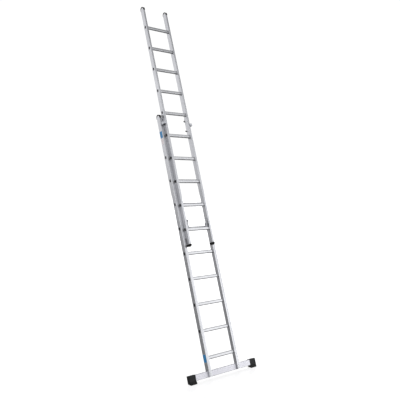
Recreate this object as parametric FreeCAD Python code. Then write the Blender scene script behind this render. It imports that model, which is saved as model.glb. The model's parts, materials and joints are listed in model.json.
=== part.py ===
import FreeCAD, Part
import math
import os

# A two-section push-up extension ladder, leaning in its working position.
#
# Every piece is first made in the ladder's own frame: X to the climber's right, Y away from the
# climber (from the front of the ladder to its back), Z up along the stiles. Height 0 is where the
# plane through the middle of the lower stiles meets the floor. At the end each piece is turned about
# that line by the lean angle, so that +Z is up and the floor is Z = 0. Sizes are millimetres.

V = FreeCAD.Vector

# ---- driving dimensions: the whole ladder ----
LEAN_DEGREES = 19.0
RUNG_PITCH = 280.0
RUNGS_PER_SECTION = 10
RUNGS_EXTENDED = 5            # how many pitches the fly section stands above the base section
HOOK_DROP = 21.0              # how far a fly rung hangs below the base rung beside it
FIRST_RUNG_HEIGHT = 214.0     # floor to the middle of the lowest rung, along the stile
BOTTOM_OVERHANG = 189.0       # middle of the lowest rung to the lower end of a base stile
BASE_TOP_OVERHANG = 218.0     # middle of the base's top rung to the spring of the rounded stile end
FLY_TOP_OVERHANG = 245.0      # the same for the fly
FLY_BOTTOM_OVERHANG = 176.0   # middle of the fly's lowest rung to the lower end of its stile

# ---- driving dimensions: stiles ----
BASE_WIDTH = 430.0
SECTION_GAP = 11.0            # base stile to fly stile, on each side
STILE_DEPTH = 58.0
BASE_STILE_BREADTH = 27.0
FLY_STILE_BREADTH = 25.0
STILE_WALL = 1.8
STILE_CORNER = 3.0
STILE_END_RISE = 17.0         # how far the rounded top end rises above its spring
GRIP_GROOVE_WIDTH = 1.6
GRIP_GROOVE_DEPTH = 0.6
GRIP_GROOVE_PITCH = 4.5
GRIP_GROOVES = 3
FLY_CLEARANCE = 4.0           # base rung to the back of the fly stile
GUIDE_LIP_REACH = 7.5         # inward flange on the base stile that the fly's shoes run on
GUIDE_LIP_THICKNESS = 3.0

# ---- driving dimensions: rungs ----
RUNG_DEPTH = 28.0
RUNG_HEIGHT = 36.0
RUNG_WALL = 1.5
RUNG_CORNER = 9.0
RUNG_FIT = 0.1                # rung to the hole in the stile, all round
BEAD_THICKNESS = 2.5
BEAD_OVERLAP = 3.0
TREAD_RIBS = 3
TREAD_RIB_WIDTH = 2.0
TREAD_RIB_HEIGHT = 0.8
PLUG_LENGTH = 14.0
PLUG_FIT = 0.1

# ---- driving dimensions: end caps and boots ----
CAP_THICKNESS = 14.0
CAP_SIDE_LAP = 16.0           # how far a cap's band comes down the front and back of the stile
CAP_PROUD = 1.0               # how far a cap stands out past the stile's faces
SPIGOT_LENGTH = 30.0
SPIGOT_FIT = 0.15
BOOT_HEIGHT = 28.0
BOOT_WALL = 1.5
BOOT_SOLE = 7.0
BOOT_RISE = 12.0

# ---- driving dimensions: stabiliser ----
STABILISER_LENGTH = 922.0
BAR_HEIGHT = 60.0
BAR_DEPTH = 40.0
BAR_WALL = 2.2
BAR_CORNER = 3.0
BAR_FRONT_WEB = 19.0          # depth of stile that stays in front of the bar
BAR_SEAT_FIT = 0.5
BAR_GROOVE_WIDTH = 2.4
BAR_GROOVE_DEPTH = 0.9
FOOT_LENGTH = 78.0
FOOT_END_WALL = 5.0
FOOT_WALL = 4.0
FOOT_FIT = 0.2
FOOT_CORNER = 4.0
FOOT_PANEL_MARGIN = 11.0
FOOT_PANEL_DEPTH = 1.5
SOLE_PROUD = 5.0
SOLE_THICKNESS = 9.0          # at the back of the foot, where it is thinnest
SOLE_GROOVES = 4
SOLE_GROOVE_WIDTH = 3.0
SOLE_GROOVE_DEPTH = 2.5
BOLT_DIAMETER = 8.0
BOLT_HOLE = 8.4
BOLT_HEAD_DIAMETER = 16.0
BOLT_HEAD_HEIGHT = 4.0
BOLT_PITCH = 26.0
WASHER_DIAMETER = 20.0
WASHER_THICKNESS = 1.6
NUT_ACROSS_FLATS = 13.0
NUT_HEIGHT = 6.5
SPACER_DIAMETER = 13.0
FOOT_SCREW_DIAMETER = 4.8
FOOT_SCREW_HEAD = 9.5
FOOT_SCREW_HEAD_HEIGHT = 2.4
FOOT_SCREW_LENGTH = 10.0

# ---- driving dimensions: guides between the sections ----
GUIDE_BELOW_TOP = 94.0        # top guide's middle below the spring of the base stile's end
GUIDE_PLATE_HEIGHT = 144.0
GUIDE_PLATE_THICKNESS = 3.0
GUIDE_CLAW_HEIGHT = 28.0
GUIDE_CLAW_OUTER = 29.0       # how far the claw reaches outward of the fly stile's side
GUIDE_CLAW_LAP = 12.0         # how far the claw laps over the front of the fly stile
GUIDE_CLAW_LIP = 5.0
GUIDE_PLAY = 1.2              # running play between a guide and the stile it holds
GUIDE_FINGER_HEIGHT = 14.0
GUIDE_FINGER_THICKNESS = 1.8
GUIDE_FINGER_REACH = 13.0     # how far a finger shows past the inner side of the fly stile
GUIDE_FINGER_SPACING = 124.0
GUIDE_SCREW_DIAMETER = 6.0
GUIDE_SCREW_HEAD = 11.0
GUIDE_SCREW_HEAD_HEIGHT = 2.6
GUIDE_SCREW_LENGTH = 16.0
GUIDE_SCREW_SPACING = 56.0
SHOE_HEIGHT = 64.0
SHOE_ABOVE_BOOT = 8.0
SHOE_PLATE = 2.2
SHOE_FINGER = 4.0
SHOE_PLAY = 1.0
RIVET_DIAMETER = 4.8
RIVET_HEAD = 9.0
RIVET_HEAD_HEIGHT = 1.6
RIVET_GRIP = 8.0

# ---- driving dimensions: rung hooks ----
HOOK_THICKNESS = 6.0
HOOK_ARM_HEIGHT = 20.0
HOOK_NOSE_WIDTH = 10.0
HOOK_NOSE_DROP = 27.0
HOOK_SEAT_GAP = 1.0
HOOK_BACK_GAP = 2.0
HOOK_PIVOT_IN_FRONT = 24.0    # pivot ahead of the base rung's front face
HOOK_OPEN_DEGREES = 120.0
HOOK_PIN_DIAMETER = 8.0
HOOK_PIN_FIT = 0.08
HOOK_PIN_HEAD = 13.0
HOOK_PIN_HEAD_HEIGHT = 2.5
HOOK_TO_STILE = 10.0          # bracket's outer ear to the inner side of the fly stile
EAR_THICKNESS = 3.0
EAR_GAP = 0.5
EAR_RADIUS = 13.0
BRACKET_PLATE = 3.0
BRACKET_FOOT_LENGTH = 26.0
BRACKET_RIVET_SPACING = 11.0
STOP_PIN_DIAMETER = 5.0
STOP_PIN_ALONG_ARM = 14.0
STOP_PIN_GAP = 0.4

# ---- driving dimensions: plain labels ----
LABEL_THICKNESS = 0.4
LABEL_HEIGHT = 80.0
LABEL_DEPTH = 46.0
DATA_LABEL_HEIGHT = 70.0
DATA_LABEL_DEPTH = 40.0
DATA_LABEL_BELOW = 82.0

# ---- places worked out from the dimensions above ----
base_outer = BASE_WIDTH / 2
base_inner = base_outer - BASE_STILE_BREADTH
fly_outer = base_inner - SECTION_GAP
fly_inner = fly_outer - FLY_STILE_BREADTH
base_front = -STILE_DEPTH / 2
base_back = STILE_DEPTH / 2
fly_back = -RUNG_DEPTH / 2 - FLY_CLEARANCE
fly_front = fly_back - STILE_DEPTH
fly_middle = (fly_back + fly_front) / 2
base_bottom = FIRST_RUNG_HEIGHT - BOTTOM_OVERHANG
section_run = (RUNGS_PER_SECTION - 1) * RUNG_PITCH
base_top = FIRST_RUNG_HEIGHT + section_run + BASE_TOP_OVERHANG
fly_first_rung = FIRST_RUNG_HEIGHT + RUNGS_EXTENDED * RUNG_PITCH - HOOK_DROP
fly_bottom = fly_first_rung - FLY_BOTTOM_OVERHANG
fly_top = fly_first_rung + section_run + FLY_TOP_OVERHANG
bar_front = base_front + BAR_FRONT_WEB
bar_back = bar_front + BAR_DEPTH
bar_top = base_bottom + BAR_HEIGHT
guide_middle = base_top - GUIDE_BELOW_TOP


# ---- small makers ----
def block(x, y, z):
    """A box between two values on each axis, given as pairs in either order."""
    low = V(min(x), min(y), min(z))
    return Part.makeBox(max(x) - low.x, max(y) - low.y, max(z) - low.z, low)


def rounded_block(x, y, z, radius, along):
    """A box whose edges along one axis are rounded."""
    box = block(x, y, z)
    long_edges = [e for e in box.Edges if abs(e.tangentAt(e.FirstParameter).dot(along)) > 0.99]
    return box.makeFillet(radius, long_edges)


def rod(start, direction, diameter, length):
    return Part.makeCylinder(diameter / 2, length, start, direction)


def arch(x, y, low, spring, rise):
    """A slab from the height low, across the depths y, whose end is an arc that rises from spring.
    A negative rise makes the arc hang below the spring, with low as the upper end."""
    near, far = min(y), max(y)
    path = [
        Part.makeLine(V(0, near, low), V(0, near, spring)),
        Part.Arc(V(0, near, spring), V(0, (near + far) / 2, spring + rise), V(0, far, spring)).toShape(),
        Part.makeLine(V(0, far, spring), V(0, far, low)),
        Part.makeLine(V(0, far, low), V(0, near, low)),
    ]
    slab = Part.Face(Part.Wire(path)).extrude(V(max(x) - min(x), 0, 0))
    slab.translate(V(min(x), 0, 0))
    return slab


def mirrored(shape):
    return shape.mirror(V(0, 0, 0), V(1, 0, 0))


def both_sides(shapes):
    return list(shapes) + [mirrored(s) for s in shapes]


def rung_heights(first):
    return [first + number * RUNG_PITCH for number in range(RUNGS_PER_SECTION)]


# ---- stiles ----
def rung_hole(x, middle_y, height):
    half_depth = RUNG_DEPTH / 2 + RUNG_FIT
    half_height = RUNG_HEIGHT / 2 + RUNG_FIT
    depths = (middle_y - half_depth, middle_y + half_depth)
    heights = (height - half_height, height + half_height)
    return rounded_block(x, depths, heights, RUNG_CORNER + RUNG_FIT, V(1, 0, 0))


def grip_grooves(x, front, z):
    """Fine grooves down the front face, where the hands go."""
    middle = (min(x) + max(x)) / 2
    first = middle - GRIP_GROOVE_PITCH * (GRIP_GROOVES - 1) / 2
    cuts = []
    for number in range(GRIP_GROOVES):
        across = first + number * GRIP_GROOVE_PITCH
        sides = (across - GRIP_GROOVE_WIDTH / 2, across + GRIP_GROOVE_WIDTH / 2)
        cuts.append(block(sides, (front - 1, front + GRIP_GROOVE_DEPTH), z))
    return cuts


def stile_void(x, y, z):
    """The hollow inside a stile."""
    return block((min(x) + STILE_WALL, max(x) - STILE_WALL), (min(y) + STILE_WALL, max(y) - STILE_WALL), z)


def box_stile(x, y, bottom, top, first_rung):
    """A box-section stile with a rounded top end, grip grooves and holes for its rungs."""
    z = (bottom, top + STILE_END_RISE)
    shell = rounded_block(x, y, z, STILE_CORNER, V(0, 0, 1))
    shell = shell.cut(stile_void(x, y, (bottom - 1, z[1] + 1)))
    shell = shell.common(arch((min(x) - 1, max(x) + 1), y, bottom - 1, top, STILE_END_RISE))
    holes = [rung_hole((min(x) - 1, max(x) + 1), (min(y) + max(y)) / 2, h) for h in rung_heights(first_rung)]
    return shell.cut(holes + grip_grooves(x, min(y), (bottom - 1, z[1] + 1)))


def base_stile():
    x = (base_inner, base_outer)
    stile = box_stile(x, (base_front, base_back), base_bottom, base_top, FIRST_RUNG_HEIGHT)
    lip_y = (base_front, base_front + GUIDE_LIP_THICKNESS)
    lip_z = (base_bottom, base_top - CAP_SIDE_LAP)
    lip = block((base_inner - GUIDE_LIP_REACH, base_inner + STILE_WALL), lip_y, lip_z)
    gap = GUIDE_CLAW_HEIGHT / 2 + 1
    lip = lip.cut(block((base_inner - GUIDE_LIP_REACH - 1, base_inner), (lip_y[0] - 1, lip_y[1] + 1),
                        (guide_middle - gap, guide_middle + gap)))
    corner = block((base_inner, base_inner + STILE_CORNER), (base_front, base_front + STILE_CORNER), lip_z)
    corner = corner.cut(stile_void(x, (base_front, base_back), lip_z))
    notch = block((base_inner - 1, base_outer + 1), (bar_front - BAR_SEAT_FIT, base_back + 1),
                  (base_bottom - 1, bar_top + BAR_SEAT_FIT))
    stile = stile.fuse([lip, corner]).cut([notch] + bolt_holes(base_front - 1, bar_front))
    return stile.cut(guide_screw_holes()).removeSplitter()


def fly_stile():
    x = (fly_inner, fly_outer)
    stile = box_stile(x, (fly_front, fly_back), fly_bottom, fly_top, fly_first_rung)
    return stile.cut(shoe_rivet_holes()).removeSplitter()


# ---- rungs and their plugs ----
def rung(half_length, stile_inner, middle_y, height):
    """A ribbed tube that runs through both stiles, with a bead pressed up against each inner face."""
    half_depth, half_height = RUNG_DEPTH / 2, RUNG_HEIGHT / 2
    y = (middle_y - half_depth, middle_y + half_depth)
    z = (height - half_height, height + half_height)
    tube = rounded_block((-half_length, half_length), y, z, RUNG_CORNER, V(1, 0, 0))
    bead_y = (y[0] - BEAD_OVERLAP, y[1] + BEAD_OVERLAP)
    bead_z = (z[0] - BEAD_OVERLAP, z[1] + BEAD_OVERLAP)
    bead_x = (stile_inner - BEAD_THICKNESS, stile_inner)
    bead = rounded_block(bead_x, bead_y, bead_z, RUNG_CORNER + BEAD_OVERLAP, V(1, 0, 0))
    rib_x = (-bead_x[0], bead_x[0])
    spacing = (RUNG_DEPTH - 2 * RUNG_CORNER) / (TREAD_RIBS - 1)
    ribs = []
    for number in range(TREAD_RIBS):
        across = y[0] + RUNG_CORNER + number * spacing
        sides = (across - TREAD_RIB_WIDTH / 2, across + TREAD_RIB_WIDTH / 2)
        ribs.append(block(rib_x, sides, (z[1] - RUNG_WALL / 2, z[1] + TREAD_RIB_HEIGHT)))
    inner_y = (y[0] + RUNG_WALL, y[1] - RUNG_WALL)
    inner_z = (z[0] + RUNG_WALL, z[1] - RUNG_WALL)
    bore = rounded_block((-half_length - 1, half_length + 1), inner_y, inner_z,
                         RUNG_CORNER - RUNG_WALL, V(1, 0, 0))
    return tube.fuse([bead, mirrored(bead)] + ribs).cut(bore).removeSplitter()


def rung_plugs(half_length, middle_y, first):
    """Plugs pressed into the open rung ends, flush with the outer face of each stile."""
    inset = RUNG_WALL + PLUG_FIT
    y = (middle_y - RUNG_DEPTH / 2 + inset, middle_y + RUNG_DEPTH / 2 - inset)
    plugs = []
    for height in rung_heights(first):
        z = (height - RUNG_HEIGHT / 2 + inset, height + RUNG_HEIGHT / 2 - inset)
        plugs.append(rounded_block((half_length - PLUG_LENGTH, half_length), y, z,
                                   RUNG_CORNER - inset, V(1, 0, 0)))
    return Part.makeCompound(both_sides(plugs))


# ---- end caps and boots ----
def spigot(x, y, heights):
    inset = STILE_WALL + SPIGOT_FIT
    return block((min(x) + inset, max(x) - inset), (min(y) + inset, max(y) - inset), heights)


def top_cap(x, y, top):
    """A band over the rounded stile end, with a spigot down inside the stile."""
    wide = (min(x) - CAP_PROUD, max(x) + CAP_PROUD)
    deep = (min(y) - CAP_PROUD, max(y) + CAP_PROUD)
    band = arch(wide, deep, top - CAP_SIDE_LAP, top, STILE_END_RISE + CAP_THICKNESS)
    seat = arch((wide[0] - 1, wide[1] + 1), y, top - CAP_SIDE_LAP - 1, top, STILE_END_RISE)
    plug = spigot(x, y, (top - SPIGOT_LENGTH, top + STILE_END_RISE + CAP_THICKNESS / 2))
    return band.cut(seat).fuse(plug.common(arch(wide, deep, top - SPIGOT_LENGTH, top,
                                                STILE_END_RISE + CAP_THICKNESS / 2))).removeSplitter()


def boot(x, y, bottom):
    """A rubber boot over the lower end of a fly stile, round underneath."""
    wide = (min(x) - BOOT_WALL, max(x) + BOOT_WALL)
    deep = (min(y) - BOOT_WALL, max(y) + BOOT_WALL)
    upper = bottom + BOOT_HEIGHT - BOOT_SOLE - BOOT_RISE
    cup = arch(wide, deep, upper, bottom - BOOT_SOLE, -BOOT_RISE)
    cup = cup.cut(block(x, y, (bottom, upper + 1)))
    return cup.fuse(spigot(x, y, (bottom - 1, bottom + SPIGOT_LENGTH))).removeSplitter()


# ---- stabiliser bar, its feet and its bolts ----
def bolt_centres():
    across = (base_inner + base_outer) / 2
    middle = base_bottom + BAR_HEIGHT / 2
    return [(across, middle - BOLT_PITCH / 2), (across, middle + BOLT_PITCH / 2)]


def bolt_holes(start, end):
    return [rod(V(x, start, z), V(0, 1, 0), BOLT_HOLE, end - start) for x, z in bolt_centres()]


def stabiliser_bar():
    half = STABILISER_LENGTH / 2 - FOOT_END_WALL
    x, y, z = (-half, half), (bar_front, bar_back), (base_bottom, bar_top)
    tube = rounded_block(x, y, z, BAR_CORNER, V(1, 0, 0))
    tube = tube.cut(block((-half - 1, half + 1), (y[0] + BAR_WALL, y[1] - BAR_WALL),
                          (z[0] + BAR_WALL, z[1] - BAR_WALL)))
    grooves = []
    for share in (1, 2):
        level = base_bottom + BAR_HEIGHT * share / 3
        heights = (level - BAR_GROOVE_WIDTH / 2, level + BAR_GROOVE_WIDTH / 2)
        grooves.append(block((-half - 1, half + 1), (y[0] - 1, y[0] + BAR_GROOVE_DEPTH), heights))
    return tube.cut(grooves + both_sides(bolt_holes(y[0] - 1, y[1] + 1) + [foot_screw_hole()]))


def foot_space():
    """The outside of a foot sleeve, as pairs on each axis."""
    outer = STABILISER_LENGTH / 2
    skin = FOOT_WALL + FOOT_FIT
    return (outer - FOOT_LENGTH, outer), (bar_front - skin, bar_back + skin), (base_bottom - skin, bar_top + skin)


def foot_screw_place():
    x, y, z = foot_space()
    return V(sum(x) / 2 - FOOT_END_WALL, y[1], sum(z) / 2)


def foot_screw_hole():
    start = foot_screw_place() - V(0, FOOT_SCREW_LENGTH, 0)
    return rod(start, V(0, 1, 0), FOOT_SCREW_DIAMETER, FOOT_SCREW_LENGTH + 1)


def foot_sleeve():
    """A hard plastic sleeve over the bar's end, with a shallow panel on its front."""
    x, y, z = foot_space()
    sleeve = rounded_block(x, y, z, FOOT_CORNER, V(1, 0, 0))
    cavity_y = (bar_front - FOOT_FIT, bar_back + FOOT_FIT)
    cavity_z = (base_bottom - FOOT_FIT, bar_top + FOOT_FIT)
    cavity = block((x[0] - 1, x[1] - FOOT_END_WALL), cavity_y, cavity_z)
    margin = FOOT_PANEL_MARGIN
    panel = rounded_block((x[0] + margin, x[1] - margin), (y[0] - 1, y[0] + FOOT_PANEL_DEPTH),
                          (z[0] + margin, z[1] - margin), FOOT_CORNER, V(0, 1, 0))
    return sleeve.cut([cavity, panel, foot_screw_hole()])


def foot_sole():
    """A rubber sole under the sleeve, cut off level with the floor at the ladder's lean."""
    x, y, z = foot_space()
    wide = (x[0] - SOLE_PROUD, x[1])
    deep = (y[0] - SOLE_PROUD / 2, y[1] + SOLE_PROUD / 2)
    slab = rounded_block(wide, deep, (-STILE_DEPTH, z[0]), FOOT_CORNER, V(0, 0, 1))
    lip = block((x[0] - 1, x[1] + 1), y, (z[0], z[0] + 1))
    sole = leaned(slab.cut(lip))
    sole = sole.common(block((0, STABILISER_LENGTH), (-STILE_DEPTH * 2, STILE_DEPTH * 2), (0, STILE_DEPTH)))
    pitch = (max(wide) - min(wide)) / (SOLE_GROOVES + 1)
    cuts = []
    for number in range(SOLE_GROOVES):
        across = min(wide) + (number + 1) * pitch
        sides = (across - SOLE_GROOVE_WIDTH / 2, across + SOLE_GROOVE_WIDTH / 2)
        cuts.append(block(sides, (-STILE_DEPTH * 2, STILE_DEPTH * 2), (-1, SOLE_GROOVE_DEPTH)))
    return sole.cut(cuts)


def foot_screws():
    place = foot_screw_place()
    shank = rod(place - V(0, FOOT_SCREW_LENGTH, 0), V(0, 1, 0), FOOT_SCREW_DIAMETER - 2 * FOOT_FIT,
                FOOT_SCREW_LENGTH)
    head = rod(place, V(0, 1, 0), FOOT_SCREW_HEAD, FOOT_SCREW_HEAD_HEIGHT)
    rim = [e for e in head.Edges if abs(e.CenterOfMass.y - place.y - FOOT_SCREW_HEAD_HEIGHT) < 0.01
           and e.Length > FOOT_SCREW_HEAD]
    return Part.makeCompound(both_sides([shank.fuse(head.makeFillet(FOOT_SCREW_HEAD_HEIGHT * 0.6, rim))]))


def bar_bolts():
    bolts = []
    for x, z in bolt_centres():
        head = rod(V(x, base_front, z), V(0, -1, 0), BOLT_HEAD_DIAMETER, BOLT_HEAD_HEIGHT)
        rim = [e for e in head.Edges if abs(e.CenterOfMass.y - base_front + BOLT_HEAD_HEIGHT) < 0.01
               and e.Length > BOLT_HEAD_DIAMETER]
        head = head.makeFillet(BOLT_HEAD_HEIGHT * 0.7, rim)
        length = bar_back - base_front + WASHER_THICKNESS + NUT_HEIGHT + 2
        bolts.append(head.fuse(rod(V(x, base_front, z), V(0, 1, 0), BOLT_DIAMETER, length)))
    return Part.makeCompound(both_sides(bolts))


def bar_washers():
    washers = []
    for x, z in bolt_centres():
        disc = rod(V(x, bar_back, z), V(0, 1, 0), WASHER_DIAMETER, WASHER_THICKNESS)
        washers.append(disc.cut(rod(V(x, bar_back - 1, z), V(0, 1, 0), BOLT_HOLE, WASHER_THICKNESS + 2)))
    return Part.makeCompound(both_sides(washers))


def bar_nuts():
    nuts = []
    start = bar_back + WASHER_THICKNESS
    corner = NUT_ACROSS_FLATS / math.sqrt(3)
    for x, z in bolt_centres():
        turns = [math.radians(60 * side) for side in range(7)]
        ring = [V(x + corner * math.cos(t), start, z + corner * math.sin(t)) for t in turns]
        nut = Part.Face(Part.makePolygon(ring)).extrude(V(0, NUT_HEIGHT, 0))
        nuts.append(nut.cut(rod(V(x, start - 1, z), V(0, 1, 0), BOLT_DIAMETER, NUT_HEIGHT + 2)))
    return Part.makeCompound(both_sides(nuts))


def bar_spacers():
    """Tubes inside the stile, round each bolt, so that the stile isn't crushed against the bar."""
    start = base_front + STILE_WALL
    length = bar_front - start
    spacers = []
    for x, z in bolt_centres():
        tube = rod(V(x, start, z), V(0, 1, 0), SPACER_DIAMETER, length)
        spacers.append(tube.cut(rod(V(x, start - 1, z), V(0, 1, 0), BOLT_HOLE, length + 2)))
    return Part.makeCompound(both_sides(spacers))


# ---- guides that hold the fly section to the base section ----
def guide_screw_levels():
    return [guide_middle - GUIDE_SCREW_SPACING / 2, guide_middle + GUIDE_SCREW_SPACING / 2]


def guide_screw_holes():
    start = base_inner - GUIDE_PLATE_THICKNESS - 1
    length = GUIDE_PLATE_THICKNESS + STILE_WALL + 2
    return [rod(V(start, 0, z), V(1, 0, 0), GUIDE_SCREW_DIAMETER, length) for z in guide_screw_levels()]


def finger_levels():
    return [guide_middle - GUIDE_FINGER_SPACING / 2, guide_middle + GUIDE_FINGER_SPACING / 2]


def top_guide():
    """A plate on the inner side of the base stile with a claw that comes round the fly stile's front."""
    plate_x = (base_inner - GUIDE_PLATE_THICKNESS, base_inner)
    half_plate = GUIDE_PLATE_HEIGHT / 2
    half_claw = GUIDE_CLAW_HEIGHT / 2
    lip_back = base_front + GUIDE_LIP_THICKNESS
    plate = rounded_block(plate_x, (lip_back + 1, base_back - 2 * STILE_CORNER),
                          (guide_middle - half_plate, guide_middle + half_plate), STILE_CORNER, V(1, 0, 0))
    claw_z = (guide_middle - half_claw, guide_middle + half_claw)
    neck = block(plate_x, (base_front - 1, lip_back + 2), claw_z)
    front = fly_front - GUIDE_PLAY - GUIDE_CLAW_LIP
    claw = rounded_block((fly_outer - GUIDE_CLAW_LAP, fly_outer + GUIDE_CLAW_OUTER), (front, base_front),
                         claw_z, GUIDE_CLAW_LIP * 0.8, V(0, 0, 1))
    room = block((fly_inner, fly_outer + GUIDE_PLAY), (fly_front - GUIDE_PLAY, base_front + 1),
                 (claw_z[0] - 1, claw_z[1] + 1))
    hollow = rounded_block((fly_outer + GUIDE_PLAY + GUIDE_CLAW_LIP, fly_outer + GUIDE_CLAW_OUTER - GUIDE_CLAW_LIP),
                           (fly_front + GUIDE_CLAW_LIP, base_front - GUIDE_CLAW_LIP),
                           (claw_z[0] - 1, claw_z[1] + 1), STILE_CORNER, V(0, 0, 1))
    return claw.cut([room, hollow]).fuse([neck, plate]).cut(guide_screw_holes()).removeSplitter()


def guide_fingers():
    """Black nylon fingers on the guide plate that run behind the fly stile."""
    y = (fly_back + GUIDE_PLAY, fly_back + GUIDE_PLAY + GUIDE_FINGER_THICKNESS * 3)
    x = (fly_inner - GUIDE_FINGER_REACH, base_inner - GUIDE_PLATE_THICKNESS)
    half = GUIDE_FINGER_HEIGHT / 2
    return Part.makeCompound([rounded_block(x, y, (z - half, z + half), GUIDE_FINGER_THICKNESS, V(1, 0, 0))
                              for z in finger_levels()])


def guide_screws():
    start = base_inner - GUIDE_PLATE_THICKNESS
    screws = []
    for z in guide_screw_levels():
        head = rod(V(start, 0, z), V(-1, 0, 0), GUIDE_SCREW_HEAD, GUIDE_SCREW_HEAD_HEIGHT)
        rim = [e for e in head.Edges if abs(e.CenterOfMass.x - start + GUIDE_SCREW_HEAD_HEIGHT) < 0.01
               and e.Length > GUIDE_SCREW_HEAD]
        head = head.makeFillet(GUIDE_SCREW_HEAD_HEIGHT * 0.6, rim)
        screws.append(head.fuse(rod(V(start, 0, z), V(1, 0, 0), GUIDE_SCREW_DIAMETER, GUIDE_SCREW_LENGTH)))
    return Part.makeCompound(both_sides(screws))


def shoe_heights():
    low = fly_bottom + BOOT_HEIGHT - BOOT_SOLE - BOOT_RISE + SHOE_ABOVE_BOOT
    return (low, low + SHOE_HEIGHT)


def shoe_rivet_places():
    low, high = shoe_heights()
    y = base_front + GUIDE_LIP_THICKNESS + SHOE_PLAY + SHOE_FINGER / 2
    return [V(fly_outer + SHOE_PLATE, y, low + SHOE_HEIGHT * share) for share in (0.25, 0.75)]


def shoe_rivet_holes():
    start = V(STILE_WALL + SHOE_PLATE + 1, 0, 0)
    return [rod(p - start, V(1, 0, 0), RIVET_DIAMETER, GUIDE_LIP_REACH * 3) for p in shoe_rivet_places()]


def fly_shoe():
    """A nylon shoe on the side of the fly stile, with a finger each side of the base stile's lip."""
    z = shoe_heights()
    reach = (fly_outer, base_inner - SHOE_PLAY)
    lip = (base_front, base_front + GUIDE_LIP_THICKNESS)
    front_finger = (lip[0] - SHOE_PLAY - SHOE_FINGER, lip[0] - SHOE_PLAY)
    back_finger = (lip[1] + SHOE_PLAY, lip[1] + SHOE_PLAY + SHOE_FINGER)
    plate = block((fly_outer, fly_outer + SHOE_PLATE), (front_finger[0], back_finger[1]), z)
    shoe = plate.fuse([block(reach, front_finger, z), block(reach, back_finger, z)])
    return shoe.removeSplitter().cut(shoe_rivet_holes())


def shoe_rivets():
    reach = base_inner - SHOE_PLAY - fly_outer
    length = reach + STILE_WALL
    rivets = []
    for place in shoe_rivet_places():
        start = V(fly_outer - STILE_WALL, place.y, place.z)
        rivets.append(rod(start, V(1, 0, 0), RIVET_DIAMETER, length))
    return Part.makeCompound(both_sides(rivets))


# ---- rung hooks, which hang the fly section on a base rung ----
hook_rung_top = FIRST_RUNG_HEIGHT + RUNGS_EXTENDED * RUNG_PITCH + RUNG_HEIGHT / 2 + TREAD_RIB_HEIGHT
hook_pivot = V(0, -RUNG_DEPTH / 2 - HOOK_PIVOT_IN_FRONT, hook_rung_top + HOOK_SEAT_GAP + HOOK_ARM_HEIGHT / 2)
outer_ear = (fly_inner - HOOK_TO_STILE - EAR_THICKNESS, fly_inner - HOOK_TO_STILE)
hook_x = (outer_ear[0] - EAR_GAP - HOOK_THICKNESS, outer_ear[0] - EAR_GAP)
inner_ear = (hook_x[0] - EAR_GAP - EAR_THICKNESS, hook_x[0] - EAR_GAP)


def rung_hook():
    """The hook, drawn hooked over its rung and then thrown forward, clear of the rungs."""
    back = RUNG_DEPTH / 2 + HOOK_BACK_GAP
    low = hook_pivot.z - HOOK_ARM_HEIGHT / 2
    high = hook_pivot.z + HOOK_ARM_HEIGHT / 2
    arm = block(hook_x, (hook_pivot.y, back + HOOK_NOSE_WIDTH), (low, high))
    nose = block(hook_x, (back, back + HOOK_NOSE_WIDTH), (low - HOOK_NOSE_DROP, high))
    eye = rod(V(hook_x[0], hook_pivot.y, hook_pivot.z), V(1, 0, 0), HOOK_ARM_HEIGHT, HOOK_THICKNESS)
    hook = arm.fuse([nose, eye]).removeSplitter()
    outside = [e for e in hook.Edges
               if abs(e.CenterOfMass.y - back - HOOK_NOSE_WIDTH) < 0.01 and abs(e.Length - HOOK_THICKNESS) < 0.01]
    hook = hook.makeFillet(HOOK_NOSE_WIDTH * 0.4, outside)
    bore = rod(V(hook_x[0] - 1, hook_pivot.y, hook_pivot.z), V(1, 0, 0),
               HOOK_PIN_DIAMETER + 2 * HOOK_PIN_FIT, HOOK_THICKNESS + 2)
    hook = hook.cut(bore)
    hook.rotate(hook_pivot, V(1, 0, 0), HOOK_OPEN_DEGREES)
    return hook


def stop_pin_place():
    """The stop pin lies just in front of the thrown-forward arm."""
    turn = math.radians(HOOK_OPEN_DEGREES)
    along = STOP_PIN_ALONG_ARM
    across = HOOK_ARM_HEIGHT / 2 + STOP_PIN_GAP + STOP_PIN_DIAMETER / 2
    y = along * math.cos(turn) - across * math.sin(turn)
    z = along * math.sin(turn) + across * math.cos(turn)
    return hook_pivot + V(0, y, z)


def hook_bracket():
    """A folded bracket riveted to the fly's lowest rung, with two ears for the hook's pin."""
    rung_top = fly_first_rung + RUNG_HEIGHT / 2 + TREAD_RIB_HEIGHT
    stop = stop_pin_place()
    half_depth = RUNG_DEPTH / 2
    foot_y = (fly_middle - half_depth, fly_middle + half_depth)
    foot = block((inner_ear[0] - BRACKET_FOOT_LENGTH, outer_ear[1]), foot_y, (rung_top, rung_top + BRACKET_PLATE))
    ears = []
    for x in (inner_ear, outer_ear):
        web = block(x, (stop.y - STOP_PIN_DIAMETER, hook_pivot.y + EAR_RADIUS),
                    (rung_top, hook_pivot.z))
        crown = rod(V(x[0], hook_pivot.y, hook_pivot.z), V(1, 0, 0), 2 * EAR_RADIUS, EAR_THICKNESS)
        shoulder = block(x, (stop.y - STOP_PIN_DIAMETER, hook_pivot.y), (hook_pivot.z, hook_pivot.z + EAR_RADIUS))
        ears += [web, crown, shoulder]
    bracket = foot.fuse(ears).removeSplitter()
    across = hook_x[1] - hook_x[0] + 4 * EAR_THICKNESS
    start = V(inner_ear[0] - 1, 0, 0)
    cuts = [rod(hook_pivot + start, V(1, 0, 0), HOOK_PIN_DIAMETER, across),
            rod(stop + start, V(1, 0, 0), STOP_PIN_DIAMETER, across)]
    cuts += [rod(p - V(0, 0, 1), V(0, 0, 1), RIVET_DIAMETER, BRACKET_PLATE + 2) for p in bracket_rivet_places()]
    return bracket.cut(cuts)


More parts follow.
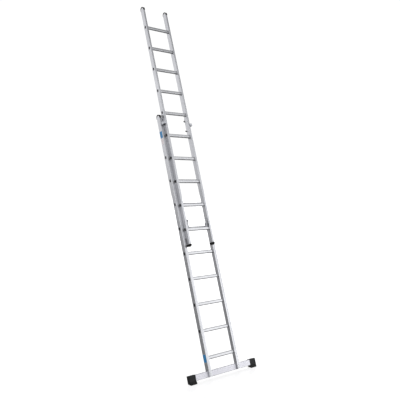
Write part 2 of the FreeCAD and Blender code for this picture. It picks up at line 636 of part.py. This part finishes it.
def bracket_rivet_places():
    rung_top = fly_first_rung + RUNG_HEIGHT / 2 + TREAD_RIB_HEIGHT
    middle = inner_ear[0] - BRACKET_FOOT_LENGTH / 2
    half = BRACKET_RIVET_SPACING / 2
    return [V(middle - half, fly_middle, rung_top), V(middle + half, fly_middle, rung_top)]


def bracket_rivets():
    rivets = []
    for place in bracket_rivet_places():
        head = rod(place + V(0, 0, BRACKET_PLATE), V(0, 0, 1), RIVET_HEAD, RIVET_HEAD_HEIGHT)
        shank = rod(place, V(0, 0, 1), RIVET_DIAMETER, BRACKET_PLATE)
        rivets.append(head.fuse(shank))
    return Part.makeCompound(both_sides(rivets))


def hook_pins():
    start = V(inner_ear[0] - HOOK_PIN_HEAD_HEIGHT, hook_pivot.y, hook_pivot.z)
    length = outer_ear[1] - start.x + HOOK_PIN_HEAD_HEIGHT
    pin = rod(start, V(1, 0, 0), HOOK_PIN_DIAMETER, length)
    inner_head = rod(start, V(1, 0, 0), HOOK_PIN_HEAD, HOOK_PIN_HEAD_HEIGHT)
    outer_head = rod(V(outer_ear[1], start.y, start.z), V(1, 0, 0), HOOK_PIN_HEAD, HOOK_PIN_HEAD_HEIGHT)
    return Part.makeCompound(both_sides([pin.fuse([inner_head, outer_head]).removeSplitter()]))


def stop_pins():
    start = stop_pin_place() + V(inner_ear[0], 0, 0)
    return Part.makeCompound(both_sides([rod(start, V(1, 0, 0), STOP_PIN_DIAMETER, outer_ear[1] - inner_ear[0])]))


# ---- plain labels on the outer face of the left base stile ----
def label(middle, height, depth):
    x = (-base_outer - LABEL_THICKNESS, -base_outer)
    return rounded_block(x, (-depth / 2, depth / 2), (middle - height / 2, middle + height / 2),
                         STILE_CORNER, V(1, 0, 0))


def blue_labels():
    top_rung = FIRST_RUNG_HEIGHT + section_run
    return Part.makeCompound([label(FIRST_RUNG_HEIGHT, LABEL_HEIGHT, LABEL_DEPTH),
                              label(top_rung, LABEL_HEIGHT, LABEL_DEPTH)])


def data_label():
    top_rung = FIRST_RUNG_HEIGHT + section_run
    return label(top_rung - DATA_LABEL_BELOW, DATA_LABEL_HEIGHT, DATA_LABEL_DEPTH)


# ---- the ladder ----
def leaned(shape):
    turned = shape.copy()
    turned.rotate(V(0, 0, 0), V(1, 0, 0), -LEAN_DEGREES)
    return turned


def pair(nodes, name, right):
    nodes[name + "_right"] = right
    nodes[name + "_left"] = mirrored(right)


def ladder():
    """Every node of the ladder in its own frame, before it leans."""
    base_x, base_y = (base_inner, base_outer), (base_front, base_back)
    fly_x, fly_y = (fly_inner, fly_outer), (fly_front, fly_back)
    nodes = {}
    pair(nodes, "base_stile", base_stile())
    pair(nodes, "fly_stile", fly_stile())
    for number, height in enumerate(rung_heights(FIRST_RUNG_HEIGHT), 1):
        nodes[f"base_rung_{number:02d}"] = rung(base_outer, base_inner, 0, height)
    for number, height in enumerate(rung_heights(fly_first_rung), 1):
        nodes[f"fly_rung_{number:02d}"] = rung(fly_outer, fly_inner, fly_middle, height)
    nodes["base_rung_plugs"] = rung_plugs(base_outer, 0, FIRST_RUNG_HEIGHT)
    nodes["fly_rung_plugs"] = rung_plugs(fly_outer, fly_middle, fly_first_rung)
    pair(nodes, "base_top_cap", top_cap(base_x, base_y, base_top))
    pair(nodes, "fly_top_cap", top_cap(fly_x, fly_y, fly_top))
    pair(nodes, "fly_boot", boot(fly_x, fly_y, fly_bottom))
    nodes["stabiliser_bar"] = stabiliser_bar()
    pair(nodes, "stabiliser_foot", foot_sleeve())
    nodes["foot_screws"] = foot_screws()
    nodes["bar_bolts"] = bar_bolts()
    nodes["bar_washers"] = bar_washers()
    nodes["bar_nuts"] = bar_nuts()
    nodes["bar_spacers"] = bar_spacers()
    pair(nodes, "top_guide", top_guide())
    pair(nodes, "guide_fingers", guide_fingers())
    nodes["guide_screws"] = guide_screws()
    pair(nodes, "fly_shoe", fly_shoe())
    nodes["shoe_rivets"] = shoe_rivets()
    pair(nodes, "hook_bracket", hook_bracket())
    nodes["bracket_rivets"] = bracket_rivets()
    nodes["hook_pins"] = hook_pins()
    nodes["hook_stop_pins"] = stop_pins()
    pair(nodes, "rung_hook", rung_hook())
    nodes["blue_labels"] = blue_labels()
    nodes["data_label"] = data_label()
    return nodes


os.makedirs("parts", exist_ok=True)
finished = {name: leaned(shape) for name, shape in ladder().items()}
pair(finished, "foot_sole", foot_sole())
for name, shape in finished.items():
    shape.exportStep(os.path.join("parts", name + ".step"))
print(len(finished), "nodes written")
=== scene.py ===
# %% [markdown]
# # An aluminium extension ladder
# The ladder's pieces were made at their real size in a CAD program. This lesson dresses them: it loads the
# fixed frame, gives every piece its finish, and lights the ladder as a studio would. Every piece of a ladder is
# hard and has its real shape already, so nothing is added, moved or resized.

# %% Load the frame
import json
import math

import bpy
from mathutils import Matrix, Vector

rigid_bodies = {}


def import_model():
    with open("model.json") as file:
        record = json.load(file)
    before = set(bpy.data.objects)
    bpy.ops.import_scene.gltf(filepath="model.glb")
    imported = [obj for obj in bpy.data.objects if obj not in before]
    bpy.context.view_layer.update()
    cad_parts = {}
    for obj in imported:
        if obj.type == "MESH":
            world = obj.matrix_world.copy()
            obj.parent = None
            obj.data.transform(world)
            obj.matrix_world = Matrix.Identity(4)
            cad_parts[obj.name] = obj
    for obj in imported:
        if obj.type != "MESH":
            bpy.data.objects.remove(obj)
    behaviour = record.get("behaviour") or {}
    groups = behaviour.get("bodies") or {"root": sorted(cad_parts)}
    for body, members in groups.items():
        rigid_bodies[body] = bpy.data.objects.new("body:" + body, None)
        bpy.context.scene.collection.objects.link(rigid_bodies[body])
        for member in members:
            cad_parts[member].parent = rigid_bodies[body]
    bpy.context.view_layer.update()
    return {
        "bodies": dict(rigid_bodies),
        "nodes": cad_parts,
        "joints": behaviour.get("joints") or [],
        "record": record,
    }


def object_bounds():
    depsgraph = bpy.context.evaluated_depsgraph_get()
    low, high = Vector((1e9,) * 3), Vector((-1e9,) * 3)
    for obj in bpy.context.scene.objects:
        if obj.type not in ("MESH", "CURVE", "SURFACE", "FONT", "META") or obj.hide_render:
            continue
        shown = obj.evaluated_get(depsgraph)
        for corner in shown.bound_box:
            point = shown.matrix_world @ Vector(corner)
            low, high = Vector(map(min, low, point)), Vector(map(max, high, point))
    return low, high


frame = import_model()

nodes, bodies = frame["nodes"], frame["bodies"]

# %% [markdown]
# The ladder leans, so the direction up along the stiles matters more than Z. It is the axis of the joint that
# the fly section slides on, and taking it from there saves writing the angle again.

# %% How far the ladder leans
slide = next(j for j in frame["joints"] if j["name"] == "fly_slide")
along = Vector(slide["axis"]).normalized()
lean = math.atan2(along.y, along.z)
print("leans back", round(math.degrees(lean), 1), "degrees")

# %% [markdown]
# A finish is a small tree of nodes. Writing `material(...)` once, with a few helpers that add a node and join
# it up, keeps each finish short enough to read. The pattern's space is turned by the lean, so that its Z runs
# up the stiles: an extruded bar has its marks along its length.

# %% Helpers for node materials
usual_noise = (0.3, 0.7)   # noise seldom leaves this part of its range from 0 to 1


def material(name):
    """A new material, its node tree and its main shader."""
    made = bpy.data.materials.new(name)
    made.use_nodes = True
    tree = made.node_tree
    shader = tree.nodes["Principled BSDF"]
    return made, tree, shader


def node(tree, kind, links=(), **values):
    """A new node. Each link is (socket, source), where the source is another node's output or a plain value."""
    added = tree.nodes.new(kind)
    for key, value in values.items():
        setattr(added, key, value)
    for socket, source in links:
        if hasattr(source, "is_output"):
            tree.links.new(source, added.inputs[socket])
        else:
            added.inputs[socket].default_value = source
    return added


def ladder_space(tree, scale):
    """The place on the ladder, with Z up the stiles, stretched by scale."""
    place = node(tree, "ShaderNodeTexCoord")
    turned = node(tree, "ShaderNodeMapping", [("Vector", place.outputs["Object"]), ("Rotation", (lean, 0, 0))])
    return node(tree, "ShaderNodeMapping", [("Vector", turned.outputs["Vector"]), ("Scale", scale)]).outputs[0]


def noise(tree, vector, size, detail=3.0, roughness=0.5):
    """A cloudy grey pattern, from 0 to 1."""
    links = [("Vector", vector), ("Scale", size), ("Detail", detail), ("Roughness", roughness)]
    return node(tree, "ShaderNodeTexNoise", links).outputs["Fac"]


def blend(tree, amount, low, high):
    """A colour between low and high."""
    ramp = node(tree, "ShaderNodeValToRGB", [("Fac", amount)])
    ramp.color_ramp.elements[0].position, ramp.color_ramp.elements[1].position = usual_noise
    ramp.color_ramp.elements[0].color = (*low, 1)
    ramp.color_ramp.elements[1].color = (*high, 1)
    return ramp.outputs["Color"]


def between(tree, amount, low, high):
    """A number between low and high."""
    darkest, palest = usual_noise
    links = [("Value", amount), ("To Min", low), ("To Max", high), ("From Min", darkest), ("From Max", palest)]
    return node(tree, "ShaderNodeMapRange", links).outputs["Result"]


def relief(tree, shader, heights, strength, depth):
    """Bumps in the surface, depth metres from low to high."""
    bump = node(tree, "ShaderNodeBump", [("Height", heights), ("Strength", strength), ("Distance", depth)])
    tree.links.new(bump.outputs["Normal"], shader.inputs["Normal"])

# %% [markdown]
# ## Aluminium
# The stiles, rungs and bar are pressed through a die as long bars. That leaves hair-fine draw lines along the
# length and a soft, cloudy bloom where the metal cooled. Stretched noise makes the lines, wide noise makes the
# bloom, and both are faint: in life you only see them when the light runs along the metal.

# %% Drawn aluminium
bloom_stretch = (5, 5, 2.2)   # patches of bloom are longer up the ladder than across it


def drawn_aluminium(name, low, high, roughness, line_scale, anisotropy):
    made, tree, shader = material(name)
    lines = noise(tree, ladder_space(tree, line_scale), 1.0, 4.0, 0.6)
    cloud = noise(tree, ladder_space(tree, bloom_stretch), 1.6, 2.0)
    mixed = node(tree, "ShaderNodeMath", [(0, lines), (1, cloud)], operation="ADD")
    half = node(tree, "ShaderNodeMath", [(0, mixed.outputs[0]), (1, 0.5)], operation="MULTIPLY")
    tree.links.new(blend(tree, half.outputs[0], low, high), shader.inputs["Base Color"])
    tree.links.new(between(tree, lines, roughness - 0.06, roughness + 0.08), shader.inputs["Roughness"])
    shader.inputs["Metallic"].default_value = 1.0
    shader.inputs["Anisotropic"].default_value = anisotropy
    relief(tree, shader, lines, 0.12, 0.0004)
    return made


along_stile, along_rung, along_bar = (900, 900, 6), (7, 900, 900), (6, 900, 900)
stile_metal = drawn_aluminium("stile aluminium", (0.47, 0.475, 0.49), (0.60, 0.605, 0.62), 0.34, along_stile, 0.3)
rung_metal = drawn_aluminium("rung aluminium", (0.46, 0.465, 0.475), (0.58, 0.585, 0.595), 0.26, along_rung, 0.25)
bar_metal = drawn_aluminium("bar aluminium", (0.46, 0.46, 0.49), (0.56, 0.56, 0.59), 0.36, along_bar, 0.3)
print("aluminium finishes:", stile_metal.name, rung_metal.name, bar_metal.name)

# %% [markdown]
# ## Zinc-plated steel
# Brackets, bolts and screws are steel with a thin coat of zinc, which grows in small crystals. A Voronoi pattern
# has cells of that kind. Fasteners are plated in a barrel and come out brighter and finer than the brackets, so
# one function makes both from two colours, a roughness and a grain size.

# %% Zinc-plated steel
def zinc(name, low, high, roughness, grain):
    made, tree, shader = material(name)
    spangle = node(tree, "ShaderNodeTexVoronoi", [("Vector", ladder_space(tree, (1, 1, 1))), ("Scale", grain)])
    tree.links.new(blend(tree, spangle.outputs["Distance"], low, high), shader.inputs["Base Color"])
    cloud = noise(tree, ladder_space(tree, (1, 1, 1)), 60.0)
    tree.links.new(between(tree, cloud, roughness - 0.08, roughness + 0.1), shader.inputs["Roughness"])
    shader.inputs["Metallic"].default_value = 1.0
    relief(tree, shader, spangle.outputs["Distance"], 0.08, 0.0002)
    return made


bracket_zinc = zinc("zinc bracket", (0.42, 0.43, 0.45), (0.56, 0.57, 0.59), 0.38, 380.0)
screw_zinc = zinc("zinc fastener", (0.50, 0.51, 0.53), (0.66, 0.67, 0.68), 0.30, 900.0)
print("zinc finishes:", bracket_zinc.name, screw_zinc.name)

# %% [markdown]
# ## Moulded plastic and rubber
# Caps, guides and feet are moulded in steel tools whose spark-cut surface leaves a fine, even grain. Rubber's is
# coarser and duller. Fine noise makes the grain as relief, and noise over twenty times wider varies the shine a
# little, as handling does. The shine is set low, so that black stays black in a pale room.

# %% Moulded plastic and rubber
wide_over_fine = 22


def moulded(name, low, high, roughness, grain, depth, specular):
    made, tree, shader = material(name)
    space = ladder_space(tree, (1, 1, 1))
    fine, wide = noise(tree, space, grain, 2.0), noise(tree, space, grain / wide_over_fine, 4.0, 0.6)
    tree.links.new(blend(tree, wide, low, high), shader.inputs["Base Color"])
    tree.links.new(between(tree, wide, roughness - 0.07, roughness + 0.1), shader.inputs["Roughness"])
    shader.inputs["Specular IOR Level"].default_value = specular
    relief(tree, shader, fine, 0.35, depth)
    return made


cap_plastic = moulded("black cap plastic", (0.006, 0.006, 0.0065), (0.014, 0.014, 0.015), 0.55, 1500.0, 0.0002, 0.22)
foot_plastic = moulded("black foot plastic", (0.006, 0.0065, 0.007), (0.015, 0.016, 0.017), 0.55, 1100.0, 0.0003, 0.22)
sole_rubber = moulded("black rubber", (0.008, 0.008, 0.008), (0.020, 0.0195, 0.019), 0.75, 800.0, 0.0004, 0.2)
shoe_nylon = moulded("grey nylon", (0.17, 0.17, 0.18), (0.24, 0.24, 0.25), 0.45, 900.0, 0.0002, 0.4)
print("moulded finishes:", cap_plastic.name, foot_plastic.name, sole_rubber.name, shoe_nylon.name)

# %% [markdown]
# ## Labels
# Two blue labels and a pale one are stuck to the left stile. They are left plain, with no words or marks.
# Printed film is a little uneven in colour and very slightly rippled where it lies on the drawn metal.

# %% Label film
def film(name, low, high, roughness):
    made, tree, shader = material(name)
    cloud = noise(tree, ladder_space(tree, (1, 1, 1)), 26.0, 3.0)
    tree.links.new(blend(tree, cloud, low, high), shader.inputs["Base Color"])
    tree.links.new(between(tree, cloud, roughness - 0.04, roughness + 0.06), shader.inputs["Roughness"])
    relief(tree, shader, noise(tree, ladder_space(tree, (1, 1, 1)), 500.0), 0.05, 0.0001)
    return made


blue_film = film("plain blue film", (0.02, 0.19, 0.42), (0.03, 0.25, 0.52), 0.40)
pale_film = film("plain pale film", (0.74, 0.68, 0.68), (0.82, 0.76, 0.76), 0.40)
print("label films:", blue_film.name, pale_film.name)

# %% [markdown]
# ## Dressing the pieces
# The record says which material slot each piece belongs to, so one small table from slot to finish dresses
# all of them. A piece from CAD keeps its shape: only what is in its material slots changes.

# %% Give every CAD piece its finish
finish_for = {
    "stile_aluminium": stile_metal, "rung_aluminium": rung_metal, "bar_aluminium": bar_metal,
    "black_plastic": cap_plastic, "foot_plastic": foot_plastic, "black_rubber": sole_rubber,
    "grey_nylon": shoe_nylon, "zinc_steel": bracket_zinc, "zinc_fasteners": screw_zinc,
    "blue_label": blue_film, "pale_label": pale_film,
}
slot_of = {part["node"]: part["material_slot"] for part in frame["record"]["subparts"]}
for name, piece in nodes.items():
    piece.data.materials.clear()
    piece.data.materials.append(finish_for[slot_of[name]])
print("dressed", len(slot_of), "pieces in", len(finish_for), "finishes")

# %% [markdown]
# ## The studio
# The floor is two wide sheets. The camera sees a white one, glossy enough that the bar and feet leave a soft,
# fading reflection. Everything else sees a grey one in the same place, so that the undersides of the bright
# metal stay dark, as they do when a photographer lays a dark card just out of view.

# %% The floor
low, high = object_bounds()
reach = (high - low).length * 12   # so far that no view sees its edge


def floor_sheet(name, depth, greys, roughness, glow):
    """A level sheet, depth metres below the ladder's feet."""
    mesh = bpy.data.meshes.new(name)
    corners = [(-reach, -reach, 0), (reach, -reach, 0), (reach, reach, 0), (-reach, reach, 0)]
    mesh.from_pydata(corners, [], [(0, 1, 2, 3)])
    sheet = bpy.data.objects.new(name, mesh)
    sheet.location.z = low.z - depth
    bpy.context.scene.collection.objects.link(sheet)
    finish, tree, shader = material(name)
    wide = noise(tree, node(tree, "ShaderNodeTexCoord").outputs["Object"], 0.6, 2.0)
    tree.links.new(blend(tree, wide, *[(grey,) * 3 for grey in greys]), shader.inputs["Base Color"])
    shader.inputs["Roughness"].default_value = roughness
    shader.inputs["Emission Color"].default_value = (1, 1, 1, 1)
    shader.inputs["Emission Strength"].default_value = glow
    mesh.materials.append(finish)
    return sheet


white_floor = floor_sheet("white floor", 0.0005, (0.30, 0.32), 0.10, 0.72)
white_floor.visible_glossy = white_floor.visible_diffuse = white_floor.visible_shadow = False
grey_floor = floor_sheet("grey floor", 0.0010, (0.26, 0.29), 0.60, 0.0)
grey_floor.visible_camera = False
print("floor", round(reach * 2, 1), "m across")

# %% [markdown]
# Metal shows what is round it, so the room matters more than the lamps. Its greys go by height: pale round the
# horizon, dark overhead and dark below. The wall in front of the ladder is dark from halfway up, which is why
# the fronts of the stiles darken towards the top while their outer sides stay pale.

# %% The room's light
# (sine of the height above the horizon, grey): from straight down, past the horizon, to overhead
side_greys = [(-1.0, 0.14), (-0.10, 0.30), (0.0, 0.66), (0.20, 0.64), (0.45, 0.50), (0.80, 0.30), (1.0, 0.50)]
front_greys = [(-1.0, 0.14), (-0.10, 0.22), (0.0, 0.80), (0.46, 0.86), (0.62, 0.34), (0.75, 0.16), (1.0, 0.50)]


cool_tint = 1.02


def height_steps(tree, up, steps):
    """A ramp of greys by height. up is the sine of the angle above the horizon."""
    shifted = node(tree, "ShaderNodeMapRange", [("Value", up), ("From Min", -1.0), ("From Max", 1.0)])
    ramp = node(tree, "ShaderNodeValToRGB", [("Fac", shifted.outputs["Result"])])
    while len(ramp.color_ramp.elements) < len(steps):
        ramp.color_ramp.elements.new(1.0)
    for element, (sine, grey) in zip(ramp.color_ramp.elements, steps):
        element.position = (sine + 1) / 2
        element.color = (grey, grey, grey * cool_tint, 1)
    return ramp.outputs["Color"]


world = bpy.data.worlds.new("studio room")
bpy.context.scene.world = world
world.use_nodes = True
sky = world.node_tree
outwards = node(sky, "ShaderNodeTexCoord").outputs["Generated"]
direction = node(sky, "ShaderNodeSeparateXYZ", [("Vector", outwards)])
sides = height_steps(sky, direction.outputs["Z"], side_greys)
fronts = height_steps(sky, direction.outputs["Z"], front_greys)
towards_front = node(sky, "ShaderNodeMapRange", [("Value", direction.outputs["Y"]), ("From Min", 0.15),
                                                 ("From Max", -0.35)])
greys = node(sky, "ShaderNodeMix", [("Factor", towards_front.outputs["Result"])], data_type="RGBA")
# a Mix node keeps separate sockets for numbers, vectors and colours: 6 and 7 are the colours A and B
sky.links.new(sides, greys.inputs[6])
sky.links.new(fronts, greys.inputs[7])
seen = node(sky, "ShaderNodeLightPath").outputs["Is Camera Ray"]
backdrop = sky.nodes["Background"]
backdrop.inputs["Strength"].default_value = 1.9
white = node(sky, "ShaderNodeBackground", [("Color", (1, 1, 1, 1)), ("Strength", 1.05)])
sky.links.new(greys.outputs[2], backdrop.inputs["Color"])
chosen = node(sky, "ShaderNodeMixShader", [(0, seen), (1, backdrop.outputs[0]), (2, white.outputs[0])])
sky.links.new(chosen.outputs[0], sky.nodes["World Output"].inputs["Surface"])
bpy.context.scene.view_settings.view_transform = "Standard"
print("the room has", len(side_greys), "steps of grey at the sides and", len(front_greys), "in front")

# %% [markdown]
# Two soft lamps do the rest: one overhead, which the metal doesn't mirror, and a low one to the right that
# brightens the fronts of the stiles. Wide lamps give soft edges to shadows, which suits thin metal.

# %% The lamps
middle = (low + high) / 2


def soft_lamp(name, place, width, power):
    """A square lamp at place, turned to the middle of the ladder."""
    lamp = bpy.data.lights.new(name, "AREA")
    lamp.shape, lamp.size, lamp.energy = "SQUARE", width, power
    stand = bpy.data.objects.new(name, lamp)
    stand.location = place
    stand.rotation_euler = (middle - Vector(place)).to_track_quat("-Z", "Y").to_euler()
    bpy.context.scene.collection.objects.link(stand)
    return stand


soft_lamp("overhead lamp", (0.5, -1.0, 9.0), 5.0, 120).visible_glossy = False
soft_lamp("side lamp", (6.0, -2.5, 1.2), 2.0, 60)
print("lamps face", [round(v, 2) for v in middle])

# %% [markdown]
# The camera stands level with the middle of the ladder, in front and to the left of it, so that the left
# stile's outer face and the fronts of all the rungs show. Its matrix is built from three directions at right
# angles: right, up, and backwards, because a Blender camera looks along its own minus Z.

# %% The camera
camera_place = Vector((-3.6775, -4.1637, 2.0553))
yaw, pitch, roll = math.radians(38.6334), math.radians(-2.0343), math.radians(0.3972)
forward = Vector((math.sin(yaw) * math.cos(pitch), math.cos(yaw) * math.cos(pitch), math.sin(pitch)))
level = Vector((math.cos(yaw), -math.sin(yaw), 0))
upright = level.cross(forward)
right = level * math.cos(roll) + upright * math.sin(roll)
top = upright * math.cos(roll) - level * math.sin(roll)
lens = bpy.data.cameras.new("camera")
lens.lens, lens.sensor_width = 47.65, 36.0
camera = bpy.data.objects.new("camera", lens)
camera.matrix_world = Matrix.Translation(camera_place) @ Matrix((right, top, -forward)).transposed().to_4x4()
bpy.context.scene.collection.objects.link(camera)
bpy.context.scene.camera = camera
print("camera", round((middle - camera_place).length, 2), "m from the ladder")
